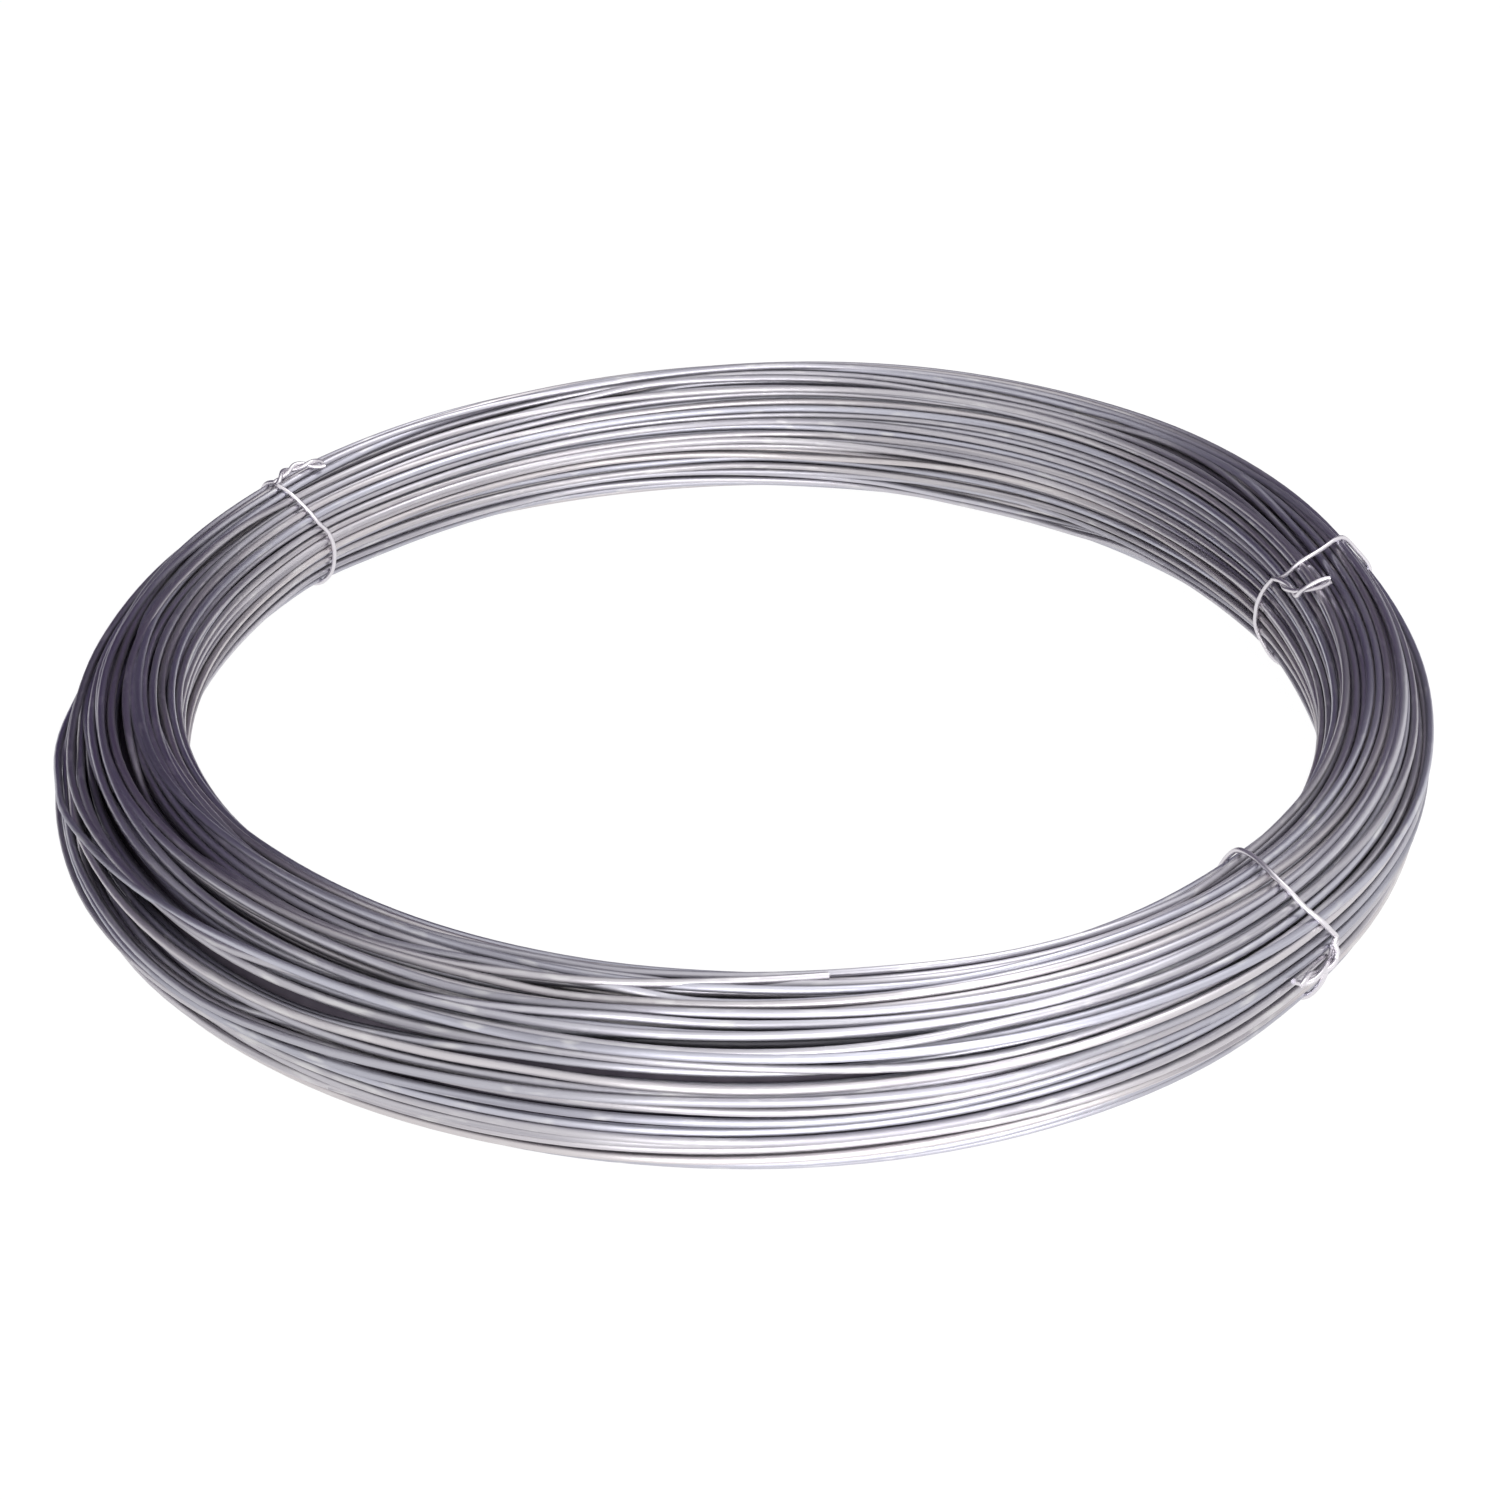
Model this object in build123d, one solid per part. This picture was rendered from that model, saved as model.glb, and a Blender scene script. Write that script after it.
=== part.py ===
from build123d import *
import math
import os

# Coil of galvanized steel wire, lying flat and held by three twisted tie wires.
# The frame's origin is on the floor under the middle of the coil, +Z is the coil's axis, sizes in mm.

# Wire and winding. The bore is off the coil's middle, because the loose turns lie wider at the front
wire_diameter = 3.0
turn_gap = 0.05
outside_diameter = 556.0
bore_diameter = 450.0
bore_shift = 8.5
coil_height = 65.0

# How far in the bundle's rounding reaches: outer and bore side, at the top and at the bottom
outer_top_round = 26.0
outer_bottom_round = 18.0
bore_top_round = 20.0
bore_bottom_round = 15.0
bore_round_excess = 3.0

# Band of innermost turns that lay on the winding former, and innermost point of the turned blank
bore_land = 16.0
blank_bore_radius = 208.0

# Outer turns show as ridges, this many turns to a ridge; a furrow's depth is a share of the wire
turns_per_ridge = 3
furrow_share = 1.0

# Tie wires, and the pair of ends twisted together on each
tie_diameter = 2.0
tie_clearance = 0.1
tie_corners = 4
twist_length = 14.0
twist_turns = 1.5
twist_squeeze_share = 0.15
steps_per_turn = 7

# Each tie's ring angle, the rounding on which it is twisted and the share of the way along it, and
# how the twist lies: its angle from the turns towards the outside, its side, and its lean off the turns
ties = {
    "tie_back_left": (145.0, "outer_top", 0.6, 0.0, -1, 20.0),
    "tie_back_right": (16.5, "bore_top", 0.66, 35.0, -1, 12.0),
    "tie_front_right": (-42.0, "outer_top", 0.0, 5.0, -1, 20.0),
}

tie_radius = tie_diameter / 2
tie_inset = tie_radius + tie_clearance
furrow_depth = wire_diameter * furrow_share
ridge_pitch = turns_per_ridge * (wire_diameter + turn_gap)
outside_radius = outside_diameter / 2
bore_radius = bore_diameter / 2
middle_height = coil_height / 2


def rounding(name, bore=bore_radius):
    """Centre, half sizes and start angle of the quarter ellipse that rounds one side of the section."""
    half_land = bore_land / 2
    bore_reach = middle_height - half_land + bore_round_excess
    return {
        "outer_top": (outside_radius - outer_top_round, middle_height,
                      outer_top_round, middle_height, 0),
        "bore_top": (bore + bore_top_round, middle_height + half_land,
                     bore_top_round, bore_reach, 90),
        "bore_bottom": (bore + bore_bottom_round, middle_height - half_land,
                        bore_bottom_round, bore_reach, 180),
        "outer_bottom": (outside_radius - outer_bottom_round, middle_height,
                         outer_bottom_round, middle_height, 270),
    }[name]


def point_on(quarter, share, inset=0.0):
    """Point on a rounding, moved in from the surface by inset."""
    centre_x, centre_z, half_x, half_z, start = quarter
    angle = math.radians(start + 90 * share)
    x = centre_x + (half_x - inset) * math.cos(angle)
    z = centre_z + (half_z - inset) * math.sin(angle)
    return (x, z)


def ridged(quarter):
    """Points of a rounding, with ridges where the turns lie and a furrow between two ridges."""
    half_x, half_z = quarter[2], quarter[3]
    arc = math.pi / 2 * math.hypot(half_x, half_z) / math.sqrt(2)
    ridges = max(2, round(arc / ridge_pitch))
    points = [point_on(quarter, 0)]
    for ridge in range(ridges):
        points.append(point_on(quarter, (ridge + 0.5) / ridges, furrow_depth))
        points.append(point_on(quarter, (ridge + 1) / ridges))
    return points


def turned_blank():
    """Half section of the coil before its bore is cut: ridged outside and on its top."""
    outer_top = ridged(rounding("outer_top"))
    crown = outer_top[-1][0]
    ridges = round((crown - blank_bore_radius) / ridge_pitch)
    pitch = (crown - blank_bore_radius) / ridges
    top = []
    for ridge in range(ridges):
        top.append((crown - (ridge + 0.5) * pitch, coil_height - furrow_depth))
        top.append((crown - (ridge + 1) * pitch, coil_height))
    return outer_top + top + [(blank_bore_radius, 0)] + ridged(rounding("outer_bottom"))[:-1]


def bore_cutter():
    """Half section of what the bore takes away, from its middle out to the ridged bore side."""
    bore_side = ridged(rounding("bore_top")) + ridged(rounding("bore_bottom"))
    top, bottom = bore_side[0], bore_side[-1]
    rise = top[1] + bore_round_excess
    drop = bottom[1] - bore_round_excess
    return [(0, rise), (top[0], rise)] + bore_side + [(bottom[0], drop), (0, drop)]


def bore_from_axis(ring_angle):
    """Distance of the bore's wall from the coil's own axis, at a ring angle."""
    angle = math.radians(ring_angle)
    across = bore_shift * math.cos(angle)
    return bore_shift * math.sin(angle) + math.sqrt(bore_radius ** 2 - across ** 2)


def tie_path_points(ring_angle):
    """Corners of a tie's centre line round the section, flush with the outer turns."""
    bore = bore_from_axis(ring_angle)
    points = []
    for name in ("outer_top", "bore_top", "bore_bottom", "outer_bottom"):
        for corner in range(tie_corners + 1):
            point = point_on(rounding(name, bore), corner / tie_corners, tie_inset)
            inside = tie_inset - tie_clearance <= point[1] <= coil_height - tie_inset + tie_clearance
            if inside and (not points or math.dist(points[-1], point) > tie_clearance):
                points.append(point)
    if math.dist(points[0], points[-1]) < tie_clearance:
        points.pop()
    return points


def upright(points):
    """Closed outline of (radius, height) points in the upright plane through the coil's axis."""
    return Polyline([(x, 0, z) for x, z in points], close=True)


def twist_frame(ring_angle, side_name, share, heading, side, lean):
    """Plane at the foot of the twisted ends, on the tie, facing the way that they point."""
    quarter = rounding(side_name, bore_from_axis(ring_angle))
    angle = math.radians(quarter[4] + 90 * share)
    heading, lean = math.radians(heading), math.radians(lean)
    x, z = point_on(quarter, share, tie_inset)
    outward = Vector(math.cos(angle), 0, math.sin(angle))
    down_the_side = Vector(math.sin(angle), 0, -math.cos(angle))
    along_turns = Vector(0, side, 0)
    flat = along_turns * math.cos(heading) + down_the_side * math.sin(heading)
    return Plane(origin=(x, 0, z), z_dir=flat * math.cos(lean) + outward * math.sin(lean))


def twisted_strand(frame, start_angle):
    """One of the tie's two ends, wound round the other and cut off square."""
    steps = round(twist_turns * steps_per_turn)
    offset_from_axis = tie_radius * (1 - twist_squeeze_share)
    points = []
    for step in range(steps + 1):
        angle = math.radians(start_angle) + 2 * math.pi * twist_turns * step / steps
        along = twist_length * step / steps
        points.append((offset_from_axis * math.cos(angle), offset_from_axis * math.sin(angle), along))
    path = frame * Polyline(points)
    section = Plane(origin=path @ 0, z_dir=path % 0) * RegularPolygon(tie_radius, 6)
    return sweep(section, path=path.wire(), transition=Transition.RIGHT)


def tie_loop(ring_angle):
    """The tie's turn round the bundle."""
    path = upright(tie_path_points(ring_angle))
    section = Plane(origin=path @ 0, z_dir=path % 0) * RegularPolygon(tie_radius, 8)
    return sweep(section, path=path.wire(), transition=Transition.RIGHT)


def tie_seat(ring_angle, frame):
    """What the tie presses out of the coil: a groove round the section and a pocket for the twist."""
    centre_line = make_face(upright(tie_path_points(ring_angle)).edges())
    neck = offset(centre_line, -tie_inset, kind=Kind.INTERSECTION)
    around = Plane.XZ * Pos(outside_radius - outer_top_round, middle_height) * Rectangle(
        outer_top_round * 6, coil_height * 2
    )
    groove = extrude(around - neck, tie_inset, both=True)
    pocket = Cylinder(
        tie_diameter + tie_clearance,
        twist_length + 2 * tie_diameter,
        align=(Align.CENTER, Align.CENTER, Align.MIN),
    )
    return groove + frame * Pos(0, 0, -tie_diameter) * pocket


blank = revolve(make_face(upright(turned_blank()).edges()), Axis.Z)
bore = revolve(make_face(upright(bore_cutter()).edges()), Axis.Z)
coil = blank - Pos(0, bore_shift, 0) * bore

os.makedirs("parts", exist_ok=True)
for name, (ring_angle, *twist) in ties.items():
    turn = Rot(0, 0, ring_angle)
    frame = twist_frame(ring_angle, *twist)
    coil -= turn * tie_seat(ring_angle, frame)
    tie = tie_loop(ring_angle) + twisted_strand(frame, 0) + twisted_strand(frame, 180)
    export_step(turn * tie, f"parts/{name}.step")

export_step(coil, "parts/wire_coil.step")
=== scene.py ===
import math

import bmesh
import bpy
import numpy as np
from mathutils import Matrix, Vector


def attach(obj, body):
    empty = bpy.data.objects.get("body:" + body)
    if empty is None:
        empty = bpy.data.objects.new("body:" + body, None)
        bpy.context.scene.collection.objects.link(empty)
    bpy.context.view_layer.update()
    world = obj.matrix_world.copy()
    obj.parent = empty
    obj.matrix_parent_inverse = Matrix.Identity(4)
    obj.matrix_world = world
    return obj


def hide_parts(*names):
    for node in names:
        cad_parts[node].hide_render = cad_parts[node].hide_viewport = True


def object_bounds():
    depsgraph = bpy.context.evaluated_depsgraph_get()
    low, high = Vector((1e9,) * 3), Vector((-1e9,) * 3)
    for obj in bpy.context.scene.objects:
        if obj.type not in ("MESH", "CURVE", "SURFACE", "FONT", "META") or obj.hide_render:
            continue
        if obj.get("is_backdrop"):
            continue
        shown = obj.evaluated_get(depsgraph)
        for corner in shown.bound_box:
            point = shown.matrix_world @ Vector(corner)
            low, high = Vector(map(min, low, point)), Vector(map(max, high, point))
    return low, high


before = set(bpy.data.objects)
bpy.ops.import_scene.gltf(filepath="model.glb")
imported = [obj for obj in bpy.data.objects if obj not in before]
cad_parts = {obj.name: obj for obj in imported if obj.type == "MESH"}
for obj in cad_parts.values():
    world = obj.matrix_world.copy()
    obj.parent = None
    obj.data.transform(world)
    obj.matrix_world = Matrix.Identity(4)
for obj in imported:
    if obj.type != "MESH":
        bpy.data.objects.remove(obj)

cad_low, cad_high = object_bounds()

# The bundle: the wire was wound on a former and taken off it, and its turns lie in one loose
# round bundle, wide at the front and pulled narrow at the back left. Its sizes are in mm, at
# eight places round the ring from +X, seen from above and going anticlockwise.
mm = 0.001
slices = 180
ring_angle = np.linspace(0, 2 * math.pi, slices, endpoint=False)
ring_degrees = np.degrees(ring_angle)
ring_x = np.cos(ring_angle)
ring_y = np.sin(ring_angle)
ring_shift = 4.7
cad_top = cad_high.z / mm


def round_the_ring(*sizes):
    """A size given at equal steps round the ring, with smooth changes between them."""
    return np.fft.irfft(np.fft.rfft(sizes) / len(sizes), slices) * slices


def evened(values, reach):
    """Values round the ring with changes shorter than reach, in degrees, evened out."""
    waves = np.fft.rfft(values, axis=0)
    kept = np.exp(-0.5 * (np.arange(len(waves)) * math.radians(reach)) ** 2)
    return np.fft.irfft(waves * kept.reshape(-1, *[1] * (values.ndim - 1)), slices, axis=0)


def beside_angles(values, section_angle):
    """Values round the ring, shaped to go with the section angles given for every slice."""
    return values.reshape(slices, *[1] * (section_angle.ndim - 1))


middle_radius = round_the_ring(249.5, 253.5, 250.5, 248, 249.5, 252, 251.5, 249)
half_width = round_the_ring(21.5, 24.5, 21.5, 17.5, 21, 30.5, 30, 24)
half_height = round_the_ring(30, 32.4, 31, 28, 27, 29.5, 30, 28.5)
fullness = 2.2


def skin_distance(section_angle, width, height):
    """Distance from the bundle's middle to its skin; section angle 0 faces out and 90 up."""
    across = np.abs(np.cos(section_angle)) / width
    up = np.abs(np.sin(section_angle)) / height
    return (across ** fullness + up ** fullness) ** (-1 / fullness)


def bundle_edge(section_angle):
    """Distance to the bundle's skin at section angles given for every slice."""
    return skin_distance(section_angle, beside_angles(half_width, section_angle),
                         beside_angles(half_height, section_angle))


# The loose turns: 3 mm galvanized steel wire, laid turn over turn. Each turn settles in the
# furrow between those under it, drifts out of it and rides over its neighbours, and the stiff
# wire bridges the hollows.
wire_diameter = 3.0
shell_depth = 9.5
shell = shell_depth * np.mean(half_width + half_height) / (half_width + half_height)
swell_waves = 3
swell = np.zeros((1 + 2 * swell_waves, slices))
laid_angle = np.empty((0, slices))
laid_reach = np.empty((0, slices))


def around(section_angle):
    """The slow changes round the bundle that its swelling is measured in."""
    return [np.ones_like(section_angle)] + [
        wave(times * section_angle)
        for times in range(1, swell_waves + 1) for wave in (np.cos, np.sin)]


def core_edge(section_angle):
    """Distance from the bundle's middle to the hidden turns under the loose ones."""
    depth = beside_angles(shell, section_angle) + sum(
        beside_angles(size, section_angle) * wave
        for size, wave in zip(swell, around(section_angle)))
    return bundle_edge(section_angle) - depth


def resting_reach(section_angle, every=1):
    """How far from the bundle's middle a turn rests on the turns that are already laid."""
    core = core_edge(section_angle)[::every]
    angle = section_angle[::every]
    if not len(laid_angle):
        return core
    each_path = (1,) * (section_angle.ndim - 1)
    under_angle = laid_angle[:, ::every].reshape(len(laid_angle), -1, *each_path)
    under_reach = laid_reach[:, ::every].reshape(len(laid_angle), -1, *each_path)
    turned = angle[None] - under_angle
    beside = under_reach * np.sin(turned)
    room = wire_diameter ** 2 - beside ** 2
    over = under_reach * np.cos(turned) + np.sqrt(np.maximum(room, 0))
    over = np.where((room > 0) & (np.cos(turned) > 0), over, 0)
    return np.maximum(over.max(axis=0), core)


def wander(size, waves):
    """A slow random drift round the ring, of a size in degrees."""
    drift = np.zeros(slices)
    for wave in range(1, waves + 1):
        drift += lay.normal() * np.cos(wave * ring_angle + lay.uniform(0, 2 * math.pi)) / wave
    return math.radians(size) * drift


# Gaps where the loose turns part: ring angle and section angle at both ends, and the widest
# opening in mm
partings = [
    (180, 250, 97, 87, 7.5),
    (194, 234, 62, 44, 3.5),
    (204, 242, 42, 26, 6.0),
    (208, 234, 26, 6, 6.0),
    (212, 256, 72, 64, 2.6),
    (254, 288, 54, 56, 3.6),
    (248, 286, 33, 31, 2.8),
    (258, 292, 16, 12, 2.2),
    (12, 44, 115, 98, 2.6),
    (60, 98, 118, 112, 2.4),
]
mean_edge = (half_width + half_height) / 2
pushed_far = 3
push_evenness = 3


def kept_apart(section_angle, give_way=1):
    """Turns pushed aside where the bundle has opened; with more give, their neighbours move too."""
    for start, end, angle_start, angle_end, widest in partings:
        share = beside_angles(
            np.clip((ring_degrees - start) % 360 / (end - start), 0, 1), section_angle)
        opening = widest * np.sin(math.pi * share)
        half_gap = (opening + wire_diameter * np.minimum(opening, 1)) / 2
        half_gap = half_gap / beside_angles(mean_edge, section_angle)
        offset = section_angle - np.radians(angle_start + (angle_end - angle_start) * share)
        offset = (offset + math.pi) % (2 * math.pi) - math.pi
        side = np.sign((offset * half_gap).sum(axis=0))
        away = side * offset
        push = np.where(away > 0, half_gap - away / give_way, half_gap - away)
        push = np.where(away > -pushed_far * half_gap, np.maximum(push, 0) * (opening > 0), 0)
        section_angle = section_angle + side * evened(push, push_evenness)
    return section_angle


proud_share = 0.35


def sunk(section_angle):
    """How far out a turn lies where it rests, pressed in where it would stand off the bundle."""
    reach = resting_reach(section_angle)
    skin = bundle_edge(section_angle)
    return np.minimum(reach, skin + proud_share * (reach - skin))


def bridged(reach, span):
    """The lowest line stiff wire can take over what it rests on, held up for a span in degrees."""
    steps = round(span / 360 * slices)
    highest = np.max([np.roll(reach, step) for step in range(-steps, steps + 1)], axis=0)
    return evened(highest, span / 2)


# The last turns laid cross the others: ring angles, and the section angle at each of them
strays = [
    ((0, 90, 180, 195, 211, 235, 280), (30, 36, 5, 15, 38, 50, 44)),
    ((20, 110, 200, 222, 240, 300), (84, 100, 78, 66, 56, 62)),
    ((0, 90, 180, 255, 263, 275, 285), (118, 122, 100, 88, 95, 113, 122)),
]
stray_evenness = 6
stray_span = 5

# Where a turn may be laid, and how it finds its place there: the drifts tried at each start, how
# a place's height over the skin is judged, and how a turn slides down to its furrow
lay_seed = 11
start_spacing = 6.0
starts = np.radians(np.arange(0, 360, start_spacing))
start_jitter = 0.1
tries = 4
wander_size = 2.6
wander_waves = 4
judged_every = 9
peak_share = 0.15
bundle_full = 1.8
sideways = math.radians(2)
slides = 16
slide_pace = 0.016
steepest = 2
path_evenness = 6
turn_span = 4
parting_give = 5
most_turns = 260

# The bundle is laid twice, because the first lay shows how far its hidden turns have to sink for
# the loose ones to fill its outline, with single turns standing this much proud
lays = 2
proud = 1.3
swell_evenness = 8
everywhere = np.tile(starts, (slices, 1))
for _ in range(lays):
    lay = np.random.default_rng(lay_seed)
    laid_angle = np.empty((0, slices))
    laid_reach = np.empty((0, slices))
    while len(laid_angle) < most_turns:
        drifts = np.column_stack([wander(wander_size, wander_waves) for _ in range(tries)])
        paths = (starts[None, None, :] + drifts[:, :, None]).reshape(slices, -1)
        paths = kept_apart(paths + lay.uniform(0, start_jitter), parting_give)
        height = resting_reach(paths, judged_every) - bundle_edge(paths)[::judged_every]
        height = height + wire_diameter / 2
        cost = height.mean(axis=0) + peak_share * height.max(axis=0)
        lowest = cost.argmin()
        if cost[lowest] > bundle_full:
            break
        path, drift = paths[:, lowest], drifts[:, lowest // len(starts)]
        for _ in range(slides):
            slope = (resting_reach(path + sideways) - bundle_edge(path + sideways)
                     - resting_reach(path - sideways) + bundle_edge(path - sideways))
            path = path - slide_pace * np.clip(slope, -steepest, steepest)
            path = kept_apart(drift + evened(path - drift, path_evenness))
        laid_reach = np.vstack([laid_reach, bridged(sunk(path), turn_span)])
        laid_angle = np.vstack([laid_angle, path])
    for places, section_angles in strays:
        path = np.radians(np.interp(ring_degrees, places, section_angles, period=360))
        path = evened(path, stray_evenness)
        laid_reach = np.vstack([laid_reach, bridged(sunk(path), stray_span)])
        laid_angle = np.vstack([laid_angle, path])
    excess = resting_reach(everywhere) - proud - bundle_edge(everywhere)
    for number, wave in enumerate(around(everywhere)):
        share = (excess * wave).mean(axis=1) / (wave ** 2).mean()
        swell[number] += evened(share, swell_evenness)

# Round wire drawn along those lines. Each turn is one closed spline, and every turn starts at
# its own place round the ring, so that no row of joints shows. The turns lie on the floor, but
# rise over the three ties that pass under them.
wire_sides = 10
turns_per_piece = 50
tie_diameter = 2.0
tie_places = (146.0, 15.5, 317.0)
rise_reach = 7
rise = sum(
    tie_diameter * np.exp(-((((ring_degrees - place + 180) % 360 - 180) / rise_reach) ** 2))
    for place in tie_places)


def turn_line(section_angle, reach):
    """Points of a turn, in metres."""
    radius = middle_radius + reach * np.cos(section_angle)
    height = half_height + reach * np.sin(section_angle)
    height = np.clip(height, wire_diameter / 2, cad_top - wire_diameter / 2)
    height = rise + height * (1 - rise / (2 * half_height))
    return np.column_stack([radius * ring_x, radius * ring_y + ring_shift, height]) * mm


# Painted shade darkens the sides of a wire that face its neighbours, and the turns that lie deep
unshaded_facing = 0.75
unshaded_depth = 2.0
darkest_depth = 7.0


def painted_furrow_shade(mesh):
    """How much painted shade each point of a mesh gets, from 0 to 1."""
    points = np.empty(len(mesh.vertices) * 3)
    mesh.vertices.foreach_get("co", points)
    points = points.reshape(-1, 3) / mm
    points[:, 1] -= ring_shift
    facing = np.array([vert.normal for vert in mesh.vertices])
    round_angle = np.arctan2(points[:, 1], points[:, 0]) % (2 * math.pi)
    slice_at = np.rint(round_angle / (2 * math.pi) * slices).astype(int) % slices
    out_radius = np.hypot(points[:, 0], points[:, 1]) - middle_radius[slice_at]
    out_height = points[:, 2] - half_height[slice_at]
    distance = np.hypot(out_radius, out_height)
    section_angle = np.arctan2(out_height, out_radius)
    depth = skin_distance(section_angle, half_width[slice_at], half_height[slice_at]) - distance
    radial = facing[:, 0] * np.cos(round_angle) + facing[:, 1] * np.sin(round_angle)
    outward = (radial * out_radius + facing[:, 2] * out_height) / distance
    on_the_sides = np.clip(unshaded_facing - outward, 0, 1)
    deep_down = np.clip((depth - unshaded_depth) / (darkest_depth - unshaded_depth), 0, 1)
    return np.clip(on_the_sides + deep_down, 0, 1)


def drawn_wire(name, lines, diameter, closed=True):
    """A mesh of round wires along lines of points, with a random tone kept on each wire."""
    curve = bpy.data.curves.new(name, "CURVE")
    curve.dimensions = "3D"
    curve.bevel_depth = diameter / 2 * mm
    curve.bevel_resolution = wire_sides // 2 - 2
    curve.use_fill_caps = not closed
    for line in lines:
        spline = curve.splines.new("POLY")
        spline.points.add(len(line) - 1)
        spline.points.foreach_set("co", np.column_stack([line, np.ones(len(line))]).ravel())
        spline.use_cyclic_u = closed
        spline.use_smooth = True
    holder = bpy.data.objects.new(name + "_line", curve)
    bpy.context.scene.collection.objects.link(holder)
    bpy.context.view_layer.update()
    drawn = holder.evaluated_get(bpy.context.evaluated_depsgraph_get())
    mesh = bpy.data.meshes.new_from_object(drawn)
    mesh.name = name
    bpy.data.objects.remove(holder)
    bpy.data.curves.remove(curve)
    tones = np.column_stack([lay.uniform(0, 1, (len(lines), 3)), np.ones(len(lines))])
    tones = np.repeat(tones, len(mesh.vertices) // len(lines), axis=0)
    tone = mesh.attributes.new("turn_tone", "FLOAT_COLOR", "POINT")
    tone.data.foreach_set("color", tones.ravel())
    # Painted shade for the furrows between the turns, kept on every point
    shade_layer = mesh.attributes.new("painted_furrow_shade", "FLOAT", "POINT")
    shade_layer.data.foreach_set("value", painted_furrow_shade(mesh))
    piece = bpy.data.objects.new(name, mesh)
    bpy.context.scene.collection.objects.link(piece)
    return piece


wire_pieces = []
for first in range(0, len(laid_angle), turns_per_piece):
    last = min(first + turns_per_piece, len(laid_angle) - 1)
    lines = [np.roll(turn_line(laid_angle[turn], laid_reach[turn]), lay.integers(slices), axis=0)
             for turn in range(first, last)]
    wire_pieces.append(drawn_wire(f"wire_turns_{len(wire_pieces) + 1}", lines, wire_diameter))

# The wire's last turn is open: its end lies on the front of the coil, and the turn dives under
# the others where it comes from, by this many mm at this ring angle
dive = 5
dive_place = 300
dive_reach = 14
end_slice = 139
hidden_slices = 10
dived = dive * np.exp(-((ring_degrees - dive_place) / dive_reach) ** 2)
last_line = np.roll(turn_line(laid_angle[-1], laid_reach[-1] - dived), -end_slice, axis=0)
wire_pieces.append(
    drawn_wire("wire_last_turn", [last_line[hidden_slices:]], wire_diameter, closed=False))

# The zinc coat on the drawn wire: each turn has a tone and tint of its own, with long dull and
# bright streaks along it, fine relief, and painted shade that darkens the furrows. The drawn
# surface spreads its sheen across the wire.
turn_length = 1.57
turn_spacing = 31.0
coat_patterns = (
    ("Streak", (9.0, 3.0, 1.0), 3.0),
    ("Spangle", (70.0, 2.0, 3.0), 2.0),
    ("Height", (90.0, 3.0, 1.0), 2.0),
)
streaks = bpy.data.node_groups.new("zinc_streaks", "ShaderNodeTree")
for input_name in ("Length", "Turn"):
    streaks.interface.new_socket(input_name, in_out="INPUT", socket_type="NodeSocketFloat")
for output_name, _, _ in coat_patterns:
    streaks.interface.new_socket(output_name, in_out="OUTPUT", socket_type="NodeSocketFloat")
nodes, links = streaks.nodes, streaks.links
given = nodes.new("NodeGroupInput")
made = nodes.new("NodeGroupOutput")
wire_uv = nodes.new("ShaderNodeUVMap")
wire_uv.uv_map = "UVMap"
parted = nodes.new("ShaderNodeSeparateXYZ")
along = nodes.new("ShaderNodeMath")
along.operation = "MULTIPLY"
apart = nodes.new("ShaderNodeMath")
apart.operation = "MULTIPLY"
apart.inputs[1].default_value = turn_spacing
joined = nodes.new("ShaderNodeCombineXYZ")
links.new(wire_uv.outputs["UV"], parted.inputs[0])
links.new(parted.outputs["X"], along.inputs[0])
links.new(given.outputs["Length"], along.inputs[1])
links.new(given.outputs["Turn"], apart.inputs[0])
links.new(along.outputs[0], joined.inputs["X"])
links.new(parted.outputs["Y"], joined.inputs["Y"])
links.new(apart.outputs[0], joined.inputs["Z"])
for output_name, stretch, detail in coat_patterns:
    stretched = nodes.new("ShaderNodeMapping")
    stretched.inputs["Scale"].default_value = stretch
    noise = nodes.new("ShaderNodeTexNoise")
    noise.inputs["Scale"].default_value = 1.0
    noise.inputs["Detail"].default_value = detail
    links.new(joined.outputs[0], stretched.inputs["Vector"])
    links.new(stretched.outputs[0], noise.inputs["Vector"])
    links.new(noise.outputs["Fac"], made.inputs[output_name])

zinc = bpy.data.materials.new("galvanized_wire")
zinc.use_nodes = True
nodes, links = zinc.node_tree.nodes, zinc.node_tree.links
shader = nodes["Principled BSDF"]
shader.inputs["Metallic"].default_value = 1
shader.inputs["Anisotropic"].default_value = 0.8
shader.inputs["Anisotropic Rotation"].default_value = 0.25
tone = nodes.new("ShaderNodeAttribute")
tone.attribute_name = "turn_tone"
tone_parts = nodes.new("ShaderNodeSeparateColor")
links.new(tone.outputs["Color"], tone_parts.inputs[0])
coat = nodes.new("ShaderNodeGroup")
coat.node_tree = streaks
coat.inputs["Length"].default_value = turn_length
links.new(tone_parts.outputs["Red"], coat.inputs["Turn"])


def colour_mix(nodes, links, share, first, second):
    """A mix of two colours; each is a colour or the output of a node."""
    mix = nodes.new("ShaderNodeMix")
    mix.data_type = "RGBA"
    for socket, value in (("Factor", share), ("A", first), ("B", second)):
        target = next(i for i in mix.inputs if i.name == socket and i.enabled)
        if isinstance(value, tuple):
            target.default_value = value
        else:
            links.new(value, target)
    return next(o for o in mix.outputs if o.enabled)


def graded(nodes, links, value, low, high, to_low, to_high):
    """A value taken from one range to another and held inside it."""
    grade = nodes.new("ShaderNodeMapRange")
    ends = {"From Min": low, "From Max": high, "To Min": to_low, "To Max": to_high}
    for socket, number in ends.items():
        grade.inputs[socket].default_value = number
    links.new(value, grade.inputs["Value"])
    return grade.outputs[0]


furrow = nodes.new("ShaderNodeAttribute")
furrow.attribute_name = "painted_furrow_shade"
cool_zinc = (0.58, 0.58, 0.66, 1)
warm_zinc = (0.70, 0.655, 0.66, 1)
base = colour_mix(nodes, links, tone_parts.outputs["Green"], cool_zinc, warm_zinc)
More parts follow.
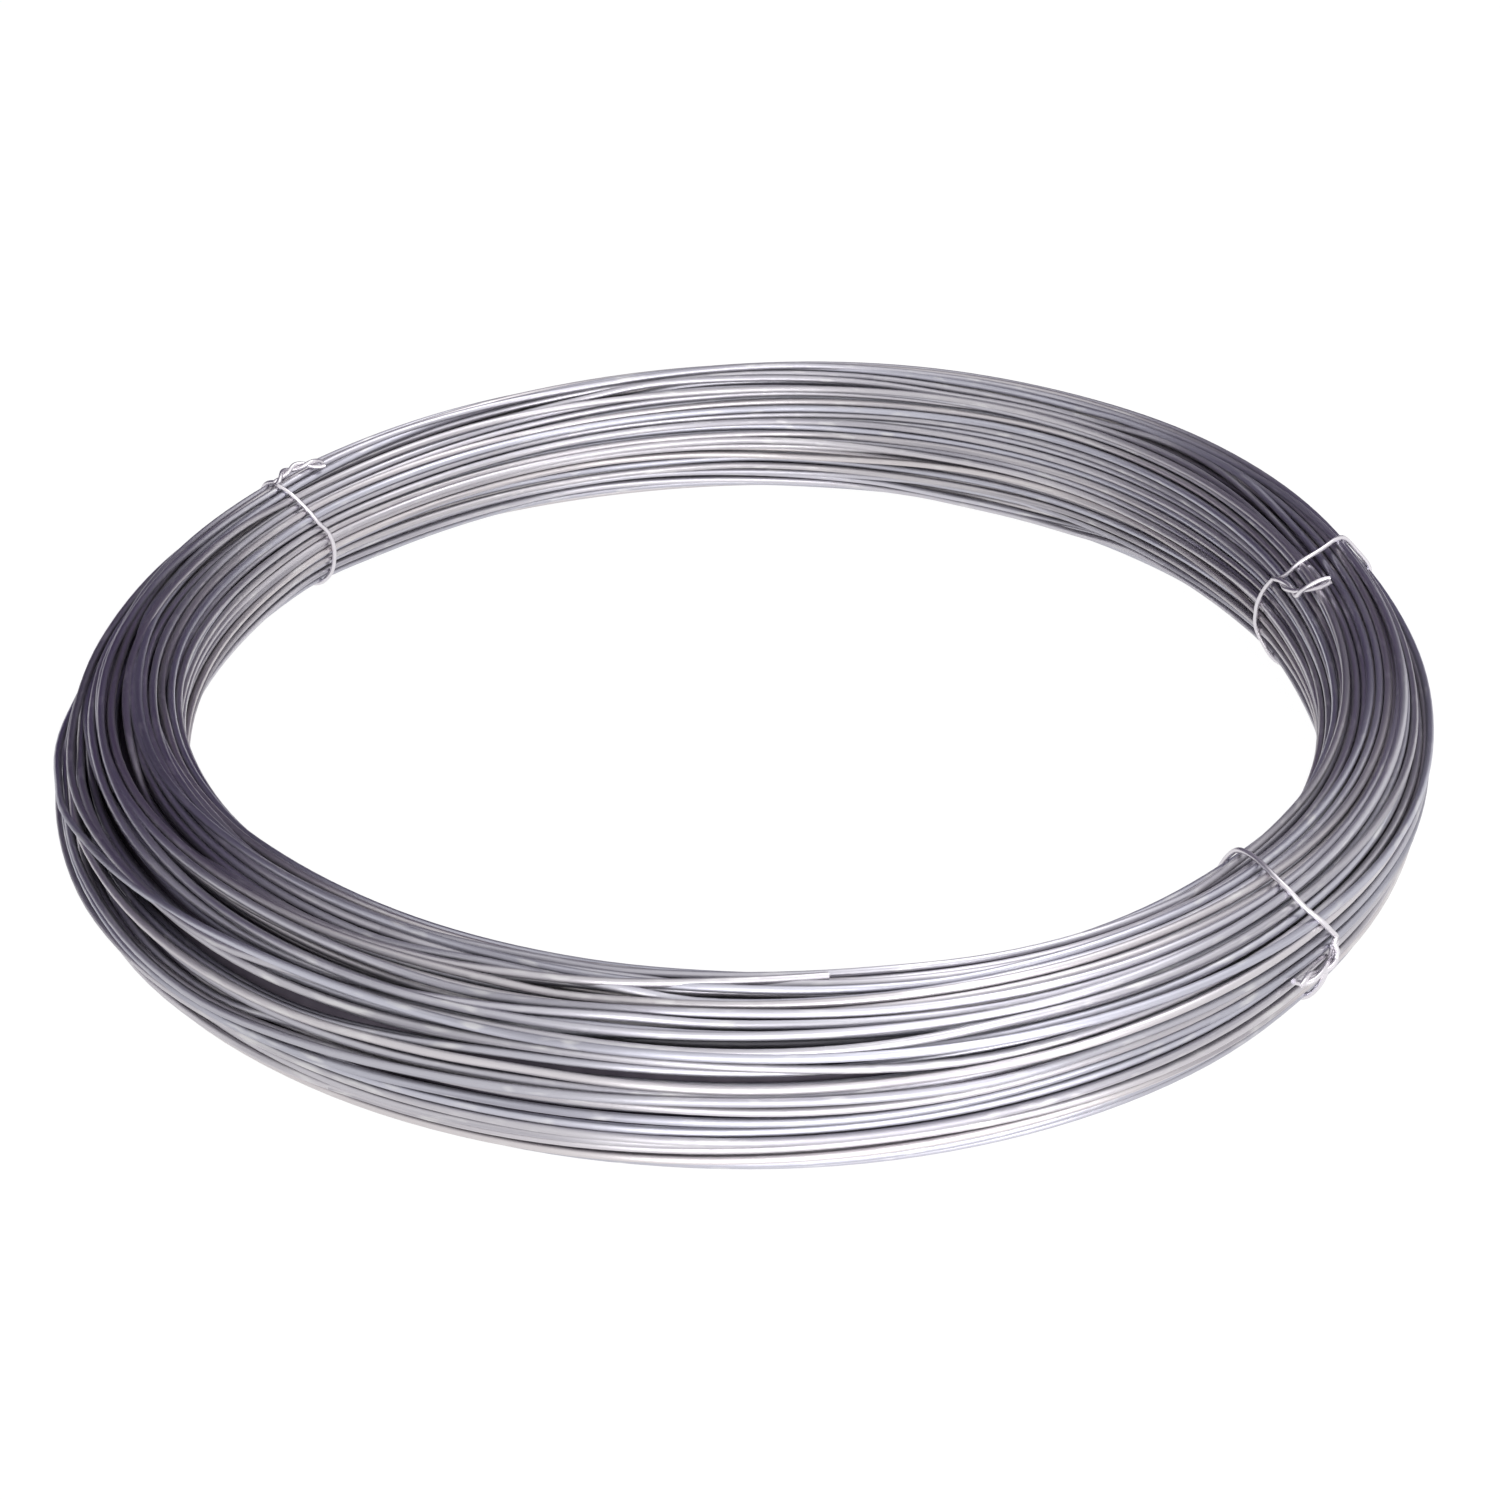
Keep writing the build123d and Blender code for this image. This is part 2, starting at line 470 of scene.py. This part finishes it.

# Dull turns, dark streaks, bright spangle and painted shade in the furrows, one over the other.
# Each: what it follows, the range of that over which it comes up, its strength and its colour
coat_layers = (
    (tone_parts.outputs["Blue"], 0, 1, 0.45, (0.36, 0.36, 0.41, 1)),
    (coat.outputs["Streak"], 0.52, 0.68, 0.55, (0.30, 0.29, 0.34, 1)),
    (coat.outputs["Spangle"], 0.58, 0.72, 0.6, (0.80, 0.79, 0.79, 1)),
    # Painted shade: a dark colour where the wire faces its neighbours or lies deep in the bundle
    (furrow.outputs["Fac"], 0.5, 1.0, 0.5, (0.14, 0.13, 0.155, 1)),
)
for pattern, low, high, strength, colour in coat_layers:
    cover = graded(nodes, links, pattern, low, high, 0, strength)
    base = colour_mix(nodes, links, cover, base, colour)
links.new(base, shader.inputs["Base Color"])
roughness = graded(nodes, links, coat.outputs["Streak"], 0.35, 0.65, 0.34, 0.5)
links.new(roughness, shader.inputs["Roughness"])
relief = nodes.new("ShaderNodeBump")
relief.inputs["Strength"].default_value = 0.15
relief.inputs["Distance"].default_value = 0.00006
links.new(coat.outputs["Height"], relief.inputs["Height"])
links.new(relief.outputs[0], shader.inputs["Normal"])
for piece in wire_pieces:
    piece.data.materials.append(zinc)
    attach(piece, "root")
    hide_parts("wire_coil")

# The hidden turns: the middle of the bundle, of the same wire, coloured near black as painted
# shade, so that it shows only as darkness in the gaps between the loose turns. They are one plain
# ring, spun round, and each of its points is then moved to where the loose turns begin.
core_sides = 32
plain_radius = 10
same_place = 1e-4
core_mesh = bpy.data.meshes.new("wire_core")
core = bmesh.new()
bmesh.ops.create_circle(core, segments=core_sides, radius=1)
bmesh.ops.rotate(core, verts=core.verts, cent=(0, 0, 0),
                 matrix=Matrix.Rotation(math.pi / 2, 3, "X"))
bmesh.ops.translate(core, verts=core.verts, vec=(plain_radius, 0, 0))
bmesh.ops.spin(core, geom=core.verts[:] + core.edges[:], cent=(0, 0, 0), axis=(0, 0, 1),
               angle=2 * math.pi, steps=slices, use_merge=True)
bmesh.ops.remove_doubles(core, verts=core.verts, dist=same_place)
for vert in core.verts:
    round_angle = math.atan2(vert.co.y, vert.co.x) % (2 * math.pi)
    place = round(round_angle / (2 * math.pi) * slices) % slices
    out = math.hypot(vert.co.x, vert.co.y) - plain_radius
    angle = np.full(slices, math.atan2(vert.co.z, out))
    vert.co = turn_line(angle, np.full(slices, core_edge(angle)[place]))[place]
bmesh.ops.recalc_face_normals(core, faces=core.faces)
for face in core.faces:
    face.smooth = True
core.to_mesh(core_mesh)
core.free()
wire_core = bpy.data.objects.new("wire_core", core_mesh)
bpy.context.scene.collection.objects.link(wire_core)

painted_shade_zinc = bpy.data.materials.new("hidden_turns_painted_shade")
painted_shade_zinc.use_nodes = True
nodes, links = painted_shade_zinc.node_tree.nodes, painted_shade_zinc.node_tree.links
shader = nodes["Principled BSDF"]
shader.inputs["Metallic"].default_value = 1
shader.inputs["Roughness"].default_value = 0.5
position = nodes.new("ShaderNodeTexCoord")
mottle = nodes.new("ShaderNodeTexNoise")
mottle.inputs["Scale"].default_value = 90
links.new(position.outputs["Object"], mottle.inputs["Vector"])
# Painted shade: the hidden wire is coloured near black for the shadow deep inside the bundle
deep_shade = (0.05, 0.043, 0.058, 1)
dim_painted_shade = (0.12, 0.105, 0.13, 1)
links.new(colour_mix(nodes, links, mottle.outputs["Fac"], deep_shade, dim_painted_shade),
          shader.inputs["Base Color"])
wire_core.data.materials.append(painted_shade_zinc)
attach(wire_core, "root")
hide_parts("wire_coil")

# The ties: short lengths of soft 2 mm galvanized wire, pulled tight round the bundle at three
# places. Their two ends are twisted together with pliers, laid down on the turns and cut off.
tie_zinc = bpy.data.materials.new("tie_wire")
tie_zinc.use_nodes = True
shader = tie_zinc.node_tree.nodes["Principled BSDF"]
shader.inputs["Metallic"].default_value = 1
shader.inputs["Base Color"].default_value = (0.74, 0.71, 0.75, 1)
shader.inputs["Roughness"].default_value = 0.38

# Each tie's section angles and the ring angle at each of them, then its twisted ends: ring
# angle, section angle and lift in mm at five places along them
ties = {
    "tie_back_left": (
        (90, 105, 123, 144, 159, 180, 222),
        (148.2, 148.0, 147.6, 147.2, 146.0, 145.6, 145.2),
        ((148.1, 88, 0.6), (146.4, 84, 2.0), (145.2, 86, 2.2), (144.0, 93, 2.0), (142.4, 99, 1.4)),
    ),
    "tie_back_right": (
        (69, 96, 114, 132, 141, 156, 171, 204, 235),
        (15.2, 13.2, 12.4, 12.8, 14.0, 15.2, 15.6, 16.4, 14.5),
        ((13.6, 141, 0.6), (10.8, 138, 2.0), (8.4, 135, 2.4), (7.2, 126, 2.6), (6.6, 108, 2.2)),
    ),
    "tie_front_right": (
        (3, 15, 30, 45, 57, 72, 90, 102, 137),
        (317.8, 317.4, 315.8, 314.6, 314.2, 314.2, 315.0, 315.8, 317.5),
        ((317.4, 12, 0.6), (317.4, -3, 2.0), (315.8, -3, 2.6), (313.8, 0, 2.6), (312.2, 3, 2.0)),
    ),
}
twist_turns = 1.5
splay = 0.6
loop_points = 120
ends_apart = 0.3
twist_points = 36
softening = 6
widest_aside = 70
turn_points = np.array(
    [turn_line(angle, reach) for angle, reach in zip(laid_angle, laid_reach)]) / mm


def section_at(ring_place):
    """Radii and heights of all turns where the bundle is cut at a ring angle in degrees."""
    spot = ring_place % 360 / 360 * slices
    before, share = int(spot) % slices, spot % 1
    points = turn_points[:, before] * (1 - share) + turn_points[:, (before + 1) % slices] * share
    return np.column_stack([np.hypot(points[:, 0], points[:, 1] - ring_shift), points[:, 2]])


def on_the_bundle(ring_place, section_angle, lift):
    """A point pulled tight on the bundle, a lift away from its outermost turns."""
    middle = np.array([np.interp(ring_place % 360, ring_degrees, size, period=360)
                       for size in (middle_radius, half_height)])
    aside = np.radians(np.arange(-widest_aside, widest_aside + 1, 2))
    ways = aside + math.radians(section_angle)
    held = ((section_at(ring_place) - middle) @ [np.cos(ways), np.sin(ways)]).max(axis=0)
    reach = ((held + wire_diameter / 2 + lift) / np.cos(aside)).min()
    radius = middle[0] + reach * math.cos(math.radians(section_angle))
    height = middle[1] + reach * math.sin(math.radians(section_angle))
    turn = math.radians(ring_place)
    return np.array([radius * math.cos(turn), radius * math.sin(turn) + ring_shift, height])


def twisted_ends(axis):
    """Two strands wound round each other along an axis, given as points, with their tips apart."""
    along = np.gradient(axis, axis=0)
    along /= np.linalg.norm(along, axis=1)[:, None]
    side = np.cross(along, (0, 0, 1))
    side /= np.linalg.norm(side, axis=1)[:, None]
    upwards = np.cross(side, along)
    share = np.linspace(0, 1, len(axis))[:, None]
    angle = 2 * math.pi * twist_turns * share
    way = np.cos(angle) * side + np.sin(angle) * upwards
    swing = (tie_diameter / 2 + splay * share ** 4) * way
    return axis + swing, axis - swing


def softened(points):
    """A line of points with its sharp corners worn round."""
    for _ in range(softening):
        points[1:-1] = (points[:-2] + points[1:-1] * 2 + points[2:]) / 4
    return points


for name, (section_marks, ring_marks, tail) in ties.items():
    round_the_section = np.linspace(tail[0][1], tail[0][1] + 360, loop_points)[1:-1]
    places = np.interp(round_the_section, section_marks, ring_marks, period=360)
    places = places + np.linspace(ends_apart, -ends_apart, len(places))
    loop = softened(np.array([on_the_bundle(place, angle, tie_diameter / 2)
                              for angle, place in zip(round_the_section, places)]))
    keys = np.array([on_the_bundle(place, angle, tie_diameter / 2 + lift)
                     for place, angle, lift in tail])
    at = np.linspace(0, len(keys) - 1, twist_points)
    one, other = twisted_ends(softened(np.column_stack(
        [np.interp(at, range(len(keys)), keys[:, axis]) for axis in range(3)])))
    line = np.vstack([one[::-1], loop, other])
    line[:, 2] = np.clip(line[:, 2], tie_diameter / 2, cad_top - tie_diameter / 2)
    piece = drawn_wire(name + "_wire", [line * mm], tie_diameter, closed=False)
    piece.data.materials.append(tie_zinc)
    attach(piece, "root")
    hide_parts(name)

# The floor: a wide sheet of white paper. It looks white to the camera, in gloss and through
# glass, and keeps a trace of the coil's shadow.
paper_reach = 6
paper_glow = 1.08
glow_share = 0.9


def flat_sheet(name, reach):
    """A mesh of one square face, whose sides lie this far from its middle."""
    mesh = bpy.data.meshes.new(name)
    sheet = bmesh.new()
    bmesh.ops.create_grid(sheet, x_segments=1, y_segments=1, size=reach)
    sheet.to_mesh(mesh)
    sheet.free()
    return mesh


def seen_plainly(tree):
    """1 for rays from the camera, from gloss and through glass, and 0 for all others."""
    path = tree.nodes.new("ShaderNodeLightPath")
    seen = path.outputs["Is Camera Ray"]
    for ray in ("Is Glossy Ray", "Is Transmission Ray"):
        either = tree.nodes.new("ShaderNodeMath")
        either.operation = "MAXIMUM"
        tree.links.new(seen, either.inputs[0])
        tree.links.new(path.outputs[ray], either.inputs[1])
        seen = either.outputs[0]
    return seen


floor_mesh = flat_sheet("floor", paper_reach)
floor = bpy.data.objects.new("floor", floor_mesh)
bpy.context.scene.collection.objects.link(floor)
floor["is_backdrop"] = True
paper = bpy.data.materials.new("white_paper")
paper.use_nodes = True
tree = paper.node_tree
tree.nodes.clear()
output = tree.nodes.new("ShaderNodeOutputMaterial")
mix = tree.nodes.new("ShaderNodeMixShader")
diffuse = tree.nodes.new("ShaderNodeBsdfDiffuse")
diffuse.inputs["Color"].default_value = (0.9, 0.9, 0.9, 1)
glow = tree.nodes.new("ShaderNodeEmission")
glow.inputs["Strength"].default_value = paper_glow
share = tree.nodes.new("ShaderNodeMath")
share.operation = "MULTIPLY"
share.inputs[1].default_value = glow_share
tree.links.new(seen_plainly(tree), share.inputs[0])
tree.links.new(share.outputs[0], mix.inputs[0])
tree.links.new(diffuse.outputs[0], mix.inputs[1])
tree.links.new(glow.outputs[0], mix.inputs[2])
tree.links.new(mix.outputs[0], output.inputs["Surface"])
floor_mesh.materials.append(paper)

# The studio round it: white walls. They look as white as the floor, but light the coil only
# softly, with this strength.
wall_light = 0.45
world = bpy.data.worlds.new("studio")
bpy.context.scene.world = world
world.use_nodes = True
tree = world.node_tree
tree.nodes.clear()
output = tree.nodes.new("ShaderNodeOutputWorld")
background = tree.nodes.new("ShaderNodeBackground")
background.inputs["Color"].default_value = (1, 1, 1, 1)
tree.links.new(background.outputs[0], output.inputs["Surface"])
level = graded(tree.nodes, tree.links, seen_plainly(tree), 0, 1, wall_light, 1)
tree.links.new(level, background.inputs["Strength"])

# The dark cards: upright boards behind the coil and on its left, which only the wire's gloss
# sees. They make its back and sides dark, as in the photograph. Each card: its middle, its turn,
# its width and height, and its colour
cards = {
    "dark_card_left": ((-1.15, 1.3, 1.2), 0, (2.1, 2.4), (0.07, 0.052, 0.105, 1)),
    "dark_card_right": ((0.7, 1.3, 0.7), 0, (1.6, 1.4), (0.10, 0.08, 0.14, 1)),
    "left_card": ((-1.6, 0.6, 1.1), math.pi / 2, (1.4, 2.2), (0.11, 0.09, 0.15, 1)),
}
for name, (middle, turn, (width, height), colour) in cards.items():
    card_mesh = flat_sheet(name, 0.5)
    card = bpy.data.objects.new(name, card_mesh)
    bpy.context.scene.collection.objects.link(card)
    card.scale = (width, height, 1)
    card.rotation_euler = (math.pi / 2, 0, turn)
    card.location = middle
    card.visible_camera = False
    card.visible_diffuse = False
    card.visible_shadow = False
    card.visible_transmission = False
    finish = bpy.data.materials.new(name)
    finish.use_nodes = True
    tree = finish.node_tree
    tree.nodes.clear()
    output = tree.nodes.new("ShaderNodeOutputMaterial")
    emission = tree.nodes.new("ShaderNodeEmission")
    emission.inputs["Color"].default_value = colour
    tree.links.new(emission.outputs[0], output.inputs["Surface"])
    card_mesh.materials.append(finish)
    card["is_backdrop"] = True

# The lamps: two soft boxes that face the middle of the coil, a small one above it and a wide low
# one in front of it. Each lamp: its place, its width and height, and its watts
softboxes = {
    "overhead_softbox": ((0.55, 0.28, 1.35), (0.8, 0.5), 5),
    "front_softbox": ((0.4, -1.3, 0.26), (1.6, 0.6), 19),
}
for name, (place, (width, height), power) in softboxes.items():
    lamp = bpy.data.lights.new(name, "AREA")
    lamp.shape = "RECTANGLE"
    lamp.size = width
    lamp.size_y = height
    lamp.energy = power
    lamp_object = bpy.data.objects.new(name, lamp)
    lamp_object.location = place
    lamp_object.rotation_euler = (-Vector(place)).to_track_quat("-Z", "Y").to_euler()
    bpy.context.scene.collection.objects.link(lamp_object)

# The camera: it stands in front of the coil, where the photograph was taken from, and looks down
# on its middle.
camera_distance = 1.052
camera_rise = math.radians(31.49)
camera = bpy.data.objects.new("camera", bpy.data.cameras.new("camera"))
bpy.context.scene.collection.objects.link(camera)
bpy.context.scene.camera = camera
camera.data.sensor_width = 36
camera.data.lens = 60.97
camera.data.shift_x = -0.0004
camera.data.shift_y = -0.004
aim = Vector((0, ring_shift * mm, 0))
stand = Vector((0, -math.cos(camera_rise), math.sin(camera_rise)))
camera.location = aim + stand * camera_distance
camera.rotation_euler = (-stand).to_track_quat("-Z", "Y").to_euler()

bpy.context.scene.view_settings.view_transform = "Standard"
low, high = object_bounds()
